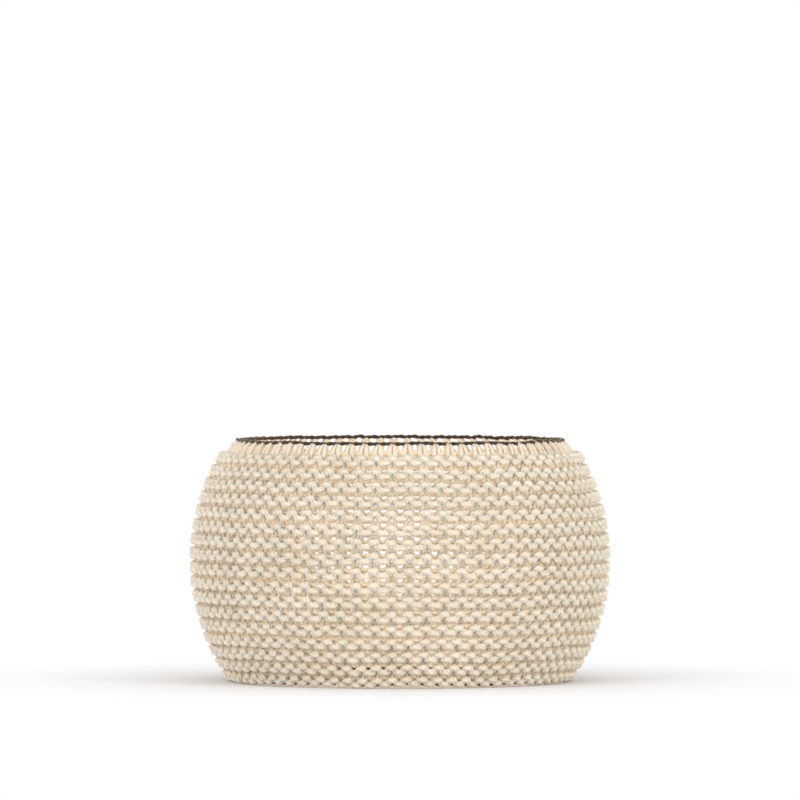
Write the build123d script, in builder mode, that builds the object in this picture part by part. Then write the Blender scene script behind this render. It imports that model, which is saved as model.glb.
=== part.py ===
from build123d import *
from math import asin, cos, degrees, radians, sin
import os

# Sizes in millimetres
globe_diameter = 125.0  # bulb globe that the sleeve is pulled over
sleeve_height = 77.0  # rim to rim
wall_thickness = 4.4  # globe to ridge crest
ridge_depth = 1.4  # ridge crest to the valley between two ridges
bump_stagger = 2.0  # loop heads of a ridge above its sinker loops
gap_width = 3.4  # along the top of a gap
gap_height = 3.2  # top of a gap to its tip

# Counts of the knit
ridges = 18  # from rim to rim, each of two courses of garter stitch
stitches = 74  # in every course
stitches_per_gap = 11  # one valley in so many is open right through the wall
ridges_per_band = 3  # ridges behind each flat band of the seat
stitches_per_flat = 2  # stitches behind each flat of a band

# Worked out from the sizes
seat_radius = globe_diameter / 2
crest_radius = seat_radius + wall_thickness
valley_radius = crest_radius - ridge_depth
middle = sleeve_height / 2
stitch_angle = 360 / stitches
edge_angle = degrees(asin(middle / valley_radius))
ridge_angle = 2 * edge_angle / ridges
stagger_angle = degrees(bump_stagger / crest_radius)
band_angle = ridges_per_band * ridge_angle
flat_angle = stitches_per_flat * stitch_angle
corner_radius = seat_radius / cos(radians(flat_angle / 2)) / cos(radians(band_angle / 2))
mouth_angle = degrees(asin(middle / corner_radius))


def spot(radius, latitude, stitch):
    """Point round the globe, at a latitude in degrees and a number of stitches round the axis."""
    turn = radians(stitch * stitch_angle)
    reach = radius * cos(radians(latitude))
    return Vector(reach * cos(turn), reach * sin(turn), middle + radius * sin(radians(latitude)))


def flat(*corners):
    """Flat face between its corners."""
    return Face(Wire.make_polygon(corners))


# Outside: every ridge waves between the loop heads of one course and the sinker loops of the next
skin = []
for ridge in range(ridges):
    low_valley = ridge * ridge_angle - edge_angle
    crest = low_valley + ridge_angle / 2
    high_valley = low_valley + ridge_angle
    for stitch in range(stitches):
        head = spot(crest_radius, crest + stagger_angle / 2, stitch)
        sinker = spot(crest_radius, crest - stagger_angle / 2, stitch + 0.5)
        next_head = spot(crest_radius, crest + stagger_angle / 2, stitch + 1)
        for latitude in (low_valley, high_valley):
            valley = spot(valley_radius, latitude, stitch + 0.5)
            next_valley = spot(valley_radius, latitude, stitch + 1.5)
            skin.append(flat(head, valley, sinker))
            skin.append(flat(sinker, valley, next_head))
            skin.append(flat(next_head, valley, next_valley))

# Inside: flat bands that close round the globe
seat_latitudes = [-mouth_angle]
for band in range(ridges // ridges_per_band):
    seat_latitudes.append((band + 0.5) * band_angle - edge_angle)
seat_latitudes.append(mouth_angle)
for low, high in zip(seat_latitudes, seat_latitudes[1:]):
    for stitch in range(0, stitches, stitches_per_flat):
        skin.append(
            flat(
                spot(corner_radius, low, stitch),
                spot(corner_radius, low, stitch + stitches_per_flat),
                spot(corner_radius, high, stitch + stitches_per_flat),
                spot(corner_radius, high, stitch),
            )
        )

# Level rims at the bottom and the top
for side in (-1, 1):
    outline = [spot(valley_radius, side * edge_angle, stitch + 0.5) for stitch in range(stitches)]
    mouth = [spot(corner_radius, side * mouth_angle, stitch) for stitch in range(0, stitches, stitches_per_flat)]
    skin.append(Face(Wire.make_polygon(outline), [Wire.make_polygon(mouth)]))

# One gap of the knit, wide at the top, at the height of the globe's centre
with BuildPart() as gap:
    with BuildSketch(Plane.YZ.offset(seat_radius - ridge_depth)):
        with BuildLine():
            Polyline(
                (-gap_width / 2, gap_height / 3),
                (gap_width / 2, gap_height / 3),
                (0, -gap_height * 2 / 3),
                close=True,
            )
        make_face()
    extrude(amount=wall_thickness + 2 * ridge_depth)

# Open gaps, a plain grid over the valleys between ridges
gap_places = []
for valley in range(1, ridges):
    for stitch in range(stitches):
        if (valley * stitches + stitch) % stitches_per_gap == 0:
            turn = Rot(Z=(stitch + 0.5) * stitch_angle) * Rot(Y=edge_angle - valley * ridge_angle)
            gap_places.append(Pos(Z=middle) * turn)

# Knitted sleeve, one piece
with BuildPart() as sleeve:
    add(Solid(Shell(skin)))
    with Locations(gap_places):
        add(gap.part, mode=Mode.SUBTRACT, clean=False)
sleeve.part.label = "knitted_sleeve"

os.makedirs("parts", exist_ok=True)
export_step(sleeve.part, "parts/knitted_sleeve.step")
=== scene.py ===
from math import atan, cos, pi, radians, sin

import bpy
import numpy as np
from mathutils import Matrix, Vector


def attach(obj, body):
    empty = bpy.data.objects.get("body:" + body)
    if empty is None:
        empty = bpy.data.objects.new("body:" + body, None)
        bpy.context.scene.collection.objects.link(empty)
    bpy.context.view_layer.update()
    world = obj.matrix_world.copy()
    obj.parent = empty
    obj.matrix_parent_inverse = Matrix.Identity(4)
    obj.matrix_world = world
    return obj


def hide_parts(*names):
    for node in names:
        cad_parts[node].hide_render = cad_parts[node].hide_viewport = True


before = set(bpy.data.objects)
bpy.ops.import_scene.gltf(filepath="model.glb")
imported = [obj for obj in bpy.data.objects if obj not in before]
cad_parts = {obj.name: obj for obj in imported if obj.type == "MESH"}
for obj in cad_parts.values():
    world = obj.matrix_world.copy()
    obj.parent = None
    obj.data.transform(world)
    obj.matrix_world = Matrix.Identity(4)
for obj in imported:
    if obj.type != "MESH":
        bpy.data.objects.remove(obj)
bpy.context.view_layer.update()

# Sizes in millimetres
sleeve_height = 77.0
globe_radius = 62.5  # globe that the sleeve is pulled over
wall = 4.4  # globe to the outermost yarn
outer_yarn_radius = 1.06  # full, on the outside
inner_yarn_radius = 0.68  # pressed thin by the globe

# Angles about the centre of the globe, in degrees
course_angle = 1.975  # from one course to the next
loop_reach = 1.80  # heads above the middle of their course, sinker loops below it
inner_drop = 0.45  # yarn on the inside hangs lower by this
edge_reach = 0.9  # sinker loops of the first course, drawn up to a level edge

# Shape of the loops, in stitches round the sleeve and loop depths through its wall
loop_waist = 0.10  # heads and sinker loops swell past the legs between them
loop_lean = 0.058  # heads are narrower than sinker loops
inner_lift = 0.85  # yarn on the inside is held off the globe

# Loops of the last course, drawn up to the top thread
top_waist = 0.03
top_lean = 0.05
top_stretch = 0.95  # share by which heads reach higher
top_round = 0.5  # share by which the shoulders of heads are raised
top_flatten = 1.1  # share of their swing to the outside that heads lose
top_sink = 0.75  # heads sink towards the globe, in loop depths

# Counts of the knit: two courses make one ridge
courses = 35
stitches = 74
steps = 16  # points along the yarn for each stitch
sides = 10  # points round the yarn
plies = 3
twists = 2  # turns of the plies for each stitch
ply_height = 0.10  # share of the yarn's radius
courses_per_piece = 8

# Dark threads at the rims: latitudes in degrees, other sizes in millimetres
top_thread_latitude = 36.3
top_thread_reach = 64.0  # from the centre of the globe
top_thread_swing = 0.15  # in and out at each stitch
top_thread_radius = 0.60
bottom_thread_latitude = -35.3
bottom_thread_reach = 64.7
bottom_thread_rise = -0.1  # up and down at each stitch, in degrees
bottom_thread_swing = 0.25
bottom_thread_radius = 0.40
thread_steps = 8
thread_sides = 10
thread_plies = 2
thread_ply_height = 0.16

# Unevenness from loop to loop
turn_spread = 0.02  # stitches
reach_spread = 0.03  # share of the reach
swell_spread = 0.05  # share of the swing through the wall
thread_spread = 0.06  # millimetres and degrees

wall_middle = globe_radius + wall / 2 - (outer_yarn_radius - inner_yarn_radius) / 2
loop_depth = (wall - outer_yarn_radius - inner_yarn_radius) / 2
stitch_angle = 360 / stitches
middle = sleeve_height / 2
globe_centre = (0, 0, middle / 1000)  # metres

# Slow unevenness over many stitches, the same in each run
seed = 74
round_way, up_way = 0, 1
drift_waves = (2, 14)  # two ways to wander, and the waves that add up to each
drift_limit = 16  # most waves round the globe
drift_least, drift_most = 0.02, 0.07  # degrees, for each wave
chance = np.random.default_rng(seed)
drift_round = chance.integers(1, drift_limit, drift_waves)
drift_up = chance.uniform(-drift_limit, drift_limit, drift_waves)
drift_start = chance.uniform(0, 2 * pi, drift_waves)
drift_size = chance.uniform(drift_least, drift_most, drift_waves)


def drift(way, turn, latitude):
    """Slow wander of the stitches, in degrees, round the sleeve or up it."""
    total = np.zeros_like(turn)
    for n, m, start, size in zip(drift_round[way], drift_up[way], drift_start[way], drift_size[way]):
        total += size * np.sin(n * np.radians(turn) + m * np.radians(latitude) + start)
    return total


def by_loop(spread, steps_each):
    """A value for each half loop of a course, eased from one to the next along the yarn."""
    values = chance.normal(0, spread, 2 * stitches)
    half_loop = 2 * np.arange(stitches * steps_each) / steps_each
    first = np.floor(half_loop).astype(int)
    ease = (1 - np.cos(pi * (half_loop - first))) / 2
    return values[first] * (1 - ease) + values[(first + 1) % len(values)] * ease


def on_globe(radius, turn, latitude):
    """Points round the globe, in metres, from a radius in millimetres and two angles in degrees."""
    a, b = np.radians(turn), np.radians(latitude)
    flat = radius * np.cos(b)
    return np.stack([flat * np.sin(a), -flat * np.cos(a), middle + radius * np.sin(b)], axis=-1) / 1000


def course_path(course):
    """Middle line and radius of the yarn through one course of garter stitch.

    Each stitch goes from sinker loop to head to sinker loop. Heads of even courses and sinker loops of odd
    ones lie outside, where the yarn is full, and the others inside, where the globe presses it thin."""
    is_last = course == courses - 1
    s = np.arange(stitches * steps) / steps
    low = (1 + np.cos(2 * pi * s)) / 2  # 1 at sinker loops and 0 at heads
    high = 1 - low

    waist, lean = (top_waist, top_lean) if is_last else (loop_waist, loop_lean)
    turn = s + waist * np.sin(4 * pi * s) + lean * np.sin(2 * pi * s) + by_loop(turn_spread, steps)
    turn = turn * stitch_angle

    reach = -loop_reach * np.cos(2 * pi * s) * (1 + by_loop(reach_spread, steps))
    depth = np.cos(2 * pi * s) * (1 if course % 2 else -1)  # 1 outside and -1 inside
    if course == 0:
        reach = reach * high + edge_reach * low
    if is_last:
        reach = reach * (1 + top_stretch * high) * (1 + top_round * high * np.sin(2 * pi * s) ** 2)
        depth = depth * (1 - top_flatten * high)
    latitude = (course - courses / 2) * course_angle + reach - inner_drop * (1 - depth) / 2

    # The yarn stays outside or inside for a while, then crosses the wall
    depth = depth * (1.5 - 0.5 * depth ** 2)
    swell = depth + inner_lift * ((1 - depth) / 2) ** 2
    if is_last:
        swell = swell - top_sink * high
    radius = wall_middle + loop_depth * swell * (1 + by_loop(swell_spread, steps))
    thick = inner_yarn_radius + (outer_yarn_radius - inner_yarn_radius) * ((1 + depth) / 2) ** 2
    wander_round = drift(round_way, turn, latitude)
    wander_up = drift(up_way, turn, latitude)
    return on_globe(radius, turn + wander_round, latitude + wander_up), thick


def thread_path(latitude, reach, rise, swing):
    """Middle line of a thread through the edge loops of a rim, with a small wave at each stitch."""
    s = np.arange(stitches * thread_steps) / thread_steps
    turn = s * stitch_angle
    wave = np.cos(2 * pi * s)
    radius = reach + swing * wave + by_loop(thread_spread, thread_steps)
    level = np.full_like(turn, latitude)
    level = level + rise * wave + drift(up_way, turn, level) + by_loop(thread_spread, thread_steps)
    return on_globe(radius, turn, level)


def tube(path, radius, lobes, lobe_height, turns, around):
    """Points of a closed twisted yarn round its middle line, one ring of points for each step."""
    radius = np.broadcast_to(radius, len(path))
    along = np.roll(path, -1, 0) - np.roll(path, 1, 0)
    along /= np.linalg.norm(along, axis=1)[:, None]
    out = path - np.array(globe_centre)
    out -= along * np.sum(out * along, axis=1)[:, None]
    out /= np.linalg.norm(out, axis=1)[:, None]
    across = np.cross(along, out)
    angle = 2 * pi * np.arange(around) / around
    size = radius[:, None] / 1000 * (1 + lobe_height * np.cos(lobes * angle))[None, :]
    spin = 2 * pi * turns * np.arange(len(path)) / len(path)
    angle = angle[None, :] + spin[:, None]
    ring = np.cos(angle)[..., None] * out[:, None, :] + np.sin(angle)[..., None] * across[:, None, :]
    return path[:, None, :] + size[..., None] * ring


def yarn_mesh(name, tubes, steps_each):
    """One mesh of closed tubes, with stitches along the yarn and turns round it as its UV map."""
    tube_shift = 97.0  # stitches, so that no two tubes have the same fibres
    points, corners, marks, first = [], [], [], 0
    for number, ring_points in enumerate(tubes):
        count, around = ring_points.shape[:2]
        i, j = np.meshgrid(np.arange(count), np.arange(around), indexing="ij")
        i, j = i.ravel(), j.ravel()
        far_i, far_j = (i + 1) % count, (j + 1) % around
        quads = [i * around + j, i * around + far_j, far_i * around + far_j, far_i * around + j]
        u = np.stack([i, i, i + 1, i + 1], 1) / steps_each + tube_shift * number
        v = np.stack([j, j + 1, j + 1, j], 1) / around
        points.append(ring_points.reshape(-1, 3))
        corners.append(np.stack(quads, 1) + first)
        marks.append(np.stack([u, v], -1).reshape(-1, 2))
        first += count * around
    points, corners, marks = np.concatenate(points), np.concatenate(corners), np.concatenate(marks)

    mesh = bpy.data.meshes.new(name)
    mesh.vertices.add(len(points))
    mesh.vertices.foreach_set("co", points.astype(np.float32).ravel())
    mesh.loops.add(corners.size)
    mesh.loops.foreach_set("vertex_index", corners.astype(np.int32).ravel())
    mesh.polygons.add(len(corners))
    mesh.polygons.foreach_set("loop_start", np.arange(0, corners.size, 4, dtype=np.int32))
    mesh.polygons.foreach_set("use_smooth", np.ones(len(corners), dtype=bool))
    layer = mesh.uv_layers.new(name="yarn")
    layer.data.foreach_set("uv", marks.astype(np.float32).ravel())
    mesh.update()
    mesh.validate()
    return mesh


def sleeve_piece(name, tubes, steps_each, material):
    """Piece of the sleeve made of closed tubes, standing for its solid."""
    mesh = yarn_mesh(name, tubes, steps_each)
    mesh.materials.append(material)
    piece = bpy.data.objects.new(name, mesh)
    bpy.context.scene.collection.objects.link(piece)
    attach(piece, "root")
    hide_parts("knitted_sleeve")
    return piece


class Nodes:
    """Short way to write a node tree."""

    def __init__(self, tree):
        self.tree = tree
        self.tree.nodes.clear()

    def add(self, kind, inputs=(), **settings):
        """New node, whose inputs are values or the outputs of other nodes."""
        node = self.tree.nodes.new(kind)
        for key, value in settings.items():
            setattr(node, key, value)
        for socket, source in dict(inputs).items():
            if isinstance(source, bpy.types.NodeSocket):
                self.tree.links.new(source, node.inputs[socket])
            else:
                node.inputs[socket].default_value = source
        return node

    def math(self, operation, *values, clamp=False):
        return self.add("ShaderNodeMath", enumerate(values), operation=operation, use_clamp=clamp).outputs[0]

    def mix(self, factor, first, second, blend="MIX"):
        inputs = {0: factor, 6: first, 7: second}
        return self.add("ShaderNodeMix", inputs, data_type="RGBA", blend_type=blend).outputs[2]

    def noise(self, **inputs):
        inputs = {socket.capitalize(): value for socket, value in inputs.items()}
        return self.add("ShaderNodeTexNoise", inputs).outputs[0]

    def rise(self, value, start, end, curve="LINEAR"):
        """Goes from 0 to 1 while a value goes from start to end."""
        inputs = {0: value, 1: start, 2: end, 3: 0.0, 4: 1.0}
        return self.add("ShaderNodeMapRange", inputs, interpolation_type=curve).outputs[0]


def new_material(name):
    """Material with an empty node tree."""
    material = bpy.data.materials.new(name)
    material.use_nodes = True
    return material, Nodes(material.node_tree)


def yarn_material(name, shades, ply_count, groove_painted_shade, sheen, inner_painted_glow, outer_painted_shade):
    """Spun yarn: plies with painted shade in the grooves between, fibres along them, flecks, slow changes of
    shade, and painted glow inside.
    """
    fibres_along, fibres_round = 9.0, 26.0  # streaks in a stitch, and in a turn round the yarn
    fibre_share, fleck_share = 0.55, 0.45  # of the shade
    ramp_start, ramp_middle, ramp_end = 0.30, 0.5, 0.70
    groove_curve, groove_shade_strength = 0.6, 0.55
    # Painted glow on the inside gives way to painted shade on the outside over these distances, and is left
    # out above the top edge
    outside_start, outside_end = 0.0638, 0.0664  # metres from the centre of the globe
    edge_start, edge_end = 0.0695, 0.0735  # metres up, at the top edge
    fibre_relief, fleck_relief, ply_relief = 0.6, 0.35, 0.5
    tone_swing, blue_swing = 0.30, 0.40
    least_rough, rough_swing = 0.78, 0.2

    material, n = new_material(name)
    uv = n.add("ShaderNodeUVMap", uv_map="yarn").outputs[0]
    split = n.add("ShaderNodeSeparateXYZ", {0: uv})
    along, around = split.outputs[0], split.outputs[1]
    spot = n.add("ShaderNodeTexCoord").outputs["Object"]

    # Fibres along the plies, flecks, and slow changes of shade
    fibre_along = n.math("MULTIPLY", along, fibres_along)
    fibre_round = n.math("MULTIPLY", around, fibres_round)
    fibre_spot = n.add("ShaderNodeCombineXYZ", {0: fibre_along, 1: fibre_round}).outputs[0]
    fibres = n.noise(vector=fibre_spot, scale=1.0, detail=4.0, roughness=0.65)
    flecks = n.noise(vector=spot, scale=2600.0, detail=3.0, roughness=0.7)
    cloud = n.noise(vector=spot, scale=95.0, detail=2.0)

    # Plies: 1 on their crests and 0 in the grooves between them
    wave = n.math("COSINE", n.math("MULTIPLY", around, 2 * pi * ply_count))
    crest = n.math("POWER", n.math("MULTIPLY_ADD", wave, 0.5, 0.5), groove_curve)

    # Shade of the fibres and flecks, with painted shade in the grooves between plies
    streaks = n.math("MULTIPLY_ADD", fibres, fibre_share, n.math("MULTIPLY", flecks, fleck_share))
    ramp = n.add("ShaderNodeValToRGB", {0: streaks})
    stops = ramp.color_ramp.elements
    stops[0].position = ramp_start
    stops[0].color = (*shades[0], 1)
    stops[1].position = ramp_end
    stops[1].color = (*shades[2], 1)
    stops.new(ramp_middle).color = (*shades[1], 1)
    groove_shade_share = n.math("MULTIPLY_ADD", crest, -groove_shade_strength, groove_shade_strength)
    groove_shaded = n.mix(groove_shade_share, ramp.outputs[0], (*groove_painted_shade, 1), "MULTIPLY")

    # Slow changes, most of all in blue, which makes the yarn warmer or cooler
    tone = n.math("MULTIPLY_ADD", cloud, tone_swing, 1 - tone_swing / 2)
    blue_tone = n.math("MULTIPLY_ADD", cloud, blue_swing, 1 - blue_swing / 2)
    shade = n.add("ShaderNodeCombineColor", {0: tone, 1: tone, 2: blue_tone}).outputs[0]
    toned = n.mix(1.0, groove_shaded, shade, "MULTIPLY")

    # Painted glow and painted shade: yarn on the inside is painted lighter and warmer, as if lit from
    # within, and yarn on the outside and at the top edge is painted darker
    from_centre = n.add("ShaderNodeVectorMath", {0: spot, 1: globe_centre}, operation="DISTANCE").outputs[1]
    height = n.add("ShaderNodeSeparateXYZ", {0: spot}).outputs[2]
    outside = n.rise(from_centre, outside_start, outside_end)
    edge = n.rise(height, edge_start, edge_end)
    glow_and_shade = n.mix(n.math("MAXIMUM", outside, edge), (*inner_painted_glow, 1), (*outer_painted_shade, 1))
    colour = n.mix(1.0, toned, glow_and_shade, "MULTIPLY")

    fine = n.math("ADD", n.math("MULTIPLY", flecks, fleck_relief), n.math("MULTIPLY", crest, ply_relief))
    relief = n.math("ADD", n.math("MULTIPLY", fibres, fibre_relief), fine)
    bump = n.add("ShaderNodeBump", {"Height": relief, "Strength": 0.55, "Distance": 0.00025}).outputs[0]
    rough = n.math("MULTIPLY_ADD", flecks, rough_swing, least_rough, clamp=True)
    surface = n.add("ShaderNodeBsdfPrincipled", {
        "Base Color": colour,
        "Roughness": rough,
        "Normal": bump,
        "Specular IOR Level": 0.2,
        "Sheen Weight": sheen,
        "Sheen Roughness": 0.5,
        "Subsurface Weight": 0.5,
        "Subsurface Radius": (1.0, 0.6, 0.35),
        "Subsurface Scale": 0.002,
    })
    n.add("ShaderNodeOutputMaterial", {0: surface.outputs[0]})
    return material


cotton = yarn_material(
    "cotton_yarn",
    shades=((0.68, 0.57, 0.46), (0.86, 0.75, 0.62), (0.97, 0.88, 0.77)),
    ply_count=plies,
    # Painted shade in the grooves between plies
    groove_painted_shade=(0.84, 0.75, 0.66),
    sheen=0.25,
    # Painted glow on yarn inside the sleeve, and painted shade on yarn outside it
    inner_painted_glow=(1.0, 0.95, 0.84),
    outer_painted_shade=(0.88, 0.875, 0.86),
)
brown = yarn_material(
    "brown_thread",
    shades=((0.025, 0.016, 0.010), (0.055, 0.036, 0.024), (0.13, 0.09, 0.06)),
    ply_count=thread_plies,
    # Painted shade in the grooves between plies
    groove_painted_shade=(0.5, 0.45, 0.4),
    sheen=0.15,
    inner_painted_glow=(1, 1, 1),
    outer_painted_shade=(1, 1, 1),
)

# Knit, from the bottom course to the top one
knit = [tube(*course_path(course), plies, ply_height, twists * stitches, sides) for course in range(courses)]
knit_pieces = []
for number, first in enumerate(range(0, courses, courses_per_piece), 1):
    piece = sleeve_piece(f"knit_{number}", knit[first:first + courses_per_piece], steps, cotton)
    knit_pieces.append(piece)

# Dark threads that hold the edge loops
top_path = thread_path(top_thread_latitude, top_thread_reach, rise=0.0, swing=top_thread_swing)
top_thread = tube(top_path, top_thread_radius, thread_plies, thread_ply_height, stitches, thread_sides)
sleeve_piece("rim_thread_top", [top_thread], thread_steps, brown)
bottom_path = thread_path(
    bottom_thread_latitude, bottom_thread_reach, rise=bottom_thread_rise, swing=bottom_thread_swing)
bottom_thread = tube(
    bottom_path, bottom_thread_radius, thread_plies, thread_ply_height, stitches, thread_sides)
sleeve_piece("rim_thread_bottom", [bottom_thread], thread_steps, brown)


def pale_floor():
    """Pale floor that keeps the shadow near the sleeve and goes over into white further away."""
    half_side = 8  # metres
    shade, grain_swing = 0.86, 0.02
    fade_start, fade_end = 0.055, 0.16  # metres from the sleeve's axis
    mesh = bpy.data.meshes.new("floor")
    corners = [(-half_side, -half_side, 0), (half_side, -half_side, 0),
               (half_side, half_side, 0), (-half_side, half_side, 0)]
    mesh.from_pydata(corners, [], [(0, 1, 2, 3)])
    floor = bpy.data.objects.new("floor", mesh)
    bpy.context.scene.collection.objects.link(floor)

    material, n = new_material("floor")
    mesh.materials.append(material)
    pale = n.math("MULTIPLY_ADD", n.noise(scale=40.0, detail=2.0), grain_swing, shade)
    colour = n.add("ShaderNodeCombineColor", {0: pale, 1: pale, 2: pale}).outputs[0]
    diffuse = n.add("ShaderNodeBsdfDiffuse", {0: colour}).outputs[0]
    white = n.add("ShaderNodeEmission", {0: (1, 1, 1, 1), 1: 1.0}).outputs[0]
    spot = n.add("ShaderNodeTexCoord").outputs["Object"]
    away = n.add("ShaderNodeVectorMath", {0: spot}, operation="LENGTH").outputs[1]
    fade = n.rise(away, fade_start, fade_end, "SMOOTHSTEP")
    seen = n.add("ShaderNodeLightPath").outputs["Is Camera Ray"]
    share = n.math("MULTIPLY", seen, fade)
    both = n.add("ShaderNodeMixShader", {0: share, 1: diffuse, 2: white}).outputs[0]
    n.add("ShaderNodeOutputMaterial", {0: both})


def studio_world():
    """Even soft light from all round, seen as plain white."""
    light_level = 0.82
    world = bpy.data.worlds.new("studio")
    bpy.context.scene.world = world
    world.use_nodes = True
    n = Nodes(world.node_tree)
    path = n.add("ShaderNodeLightPath")
    mirrored = n.math("MAXIMUM", path.outputs["Is Glossy Ray"], path.outputs["Is Transmission Ray"])
    direct = n.math("MAXIMUM", path.outputs["Is Camera Ray"], mirrored)
    strength = n.math("MULTIPLY_ADD", direct, 1 - light_level, light_level)
    sky = n.add("ShaderNodeBackground", {0: (1, 1, 1, 1), 1: strength}).outputs[0]
    n.add("ShaderNodeOutputWorld", {0: sky})


def soft_lamp(name, place, size, level):
    """Square soft lamp turned to the sleeve; level is the share of a colour that it alone would show."""
    lamp = bpy.data.lights.new(name, "AREA")
    lamp.size = size
    target = Vector(globe_centre)
    spot = Vector(place)
    lamp.energy = level * pi * pi * (spot - target).length_squared
    item = bpy.data.objects.new(name, lamp)
    item.location = spot
    item.rotation_euler = (target - spot).to_track_quat("-Z", "Y").to_euler()
    bpy.context.scene.collection.objects.link(item)


def inner_lamp(pieces):
    """Weak warm lamp inside, which lights the knit alone and keeps its gaps from going dark."""
    lamp = bpy.data.lights.new("inner", "POINT")
    lamp.shadow_soft_size = 0.045
    lamp.color = (1.0, 0.90, 0.76)
    lamp.energy = 0.09
    item = bpy.data.objects.new("inner", lamp)
    item.location = globe_centre
    item.visible_camera = False
    bpy.context.scene.collection.objects.link(item)
    lit = bpy.data.collections.new("lit_by_inner")
    for piece in pieces:
        lit.objects.link(piece)
    item.light_linking.receiver_collection = lit


def long_lens_camera():
    """Camera a little above the middle of the sleeve, which sits low in the picture."""
    distance = 3.0  # metres
    view_down = 2.0  # degrees
    width_seen = 0.2543  # metres, at the sleeve
    raised = 0.0507  # middle of the picture above the middle of the sleeve, in metres
    sensor_width = 36.0
    tilt = radians(view_down)
    lens = bpy.data.cameras.new("camera")
    lens.sensor_width = sensor_width
    lens.lens = sensor_width * distance / width_seen
    lens.clip_end = 100.0
    camera = bpy.data.objects.new("camera", lens)
    camera.location = (0, -distance * cos(tilt), middle / 1000 + distance * sin(tilt))
    camera.rotation_euler = (pi / 2 - tilt + atan(raised / distance), 0, 0)
    bpy.context.scene.collection.objects.link(camera)
    bpy.context.scene.camera = camera


pale_floor()
studio_world()
soft_lamp("key", place=(-1.3, -1.6, 0.55), size=1.0, level=0.42)
soft_lamp("fill", place=(1.6, -1.4, 0.45), size=0.9, level=0.43)
soft_lamp("top", place=(0.0, 0.2, 1.9), size=1.6, level=0.09)
inner_lamp(knit_pieces)
long_lens_camera()
bpy.context.scene.view_settings.view_transform = "Standard"
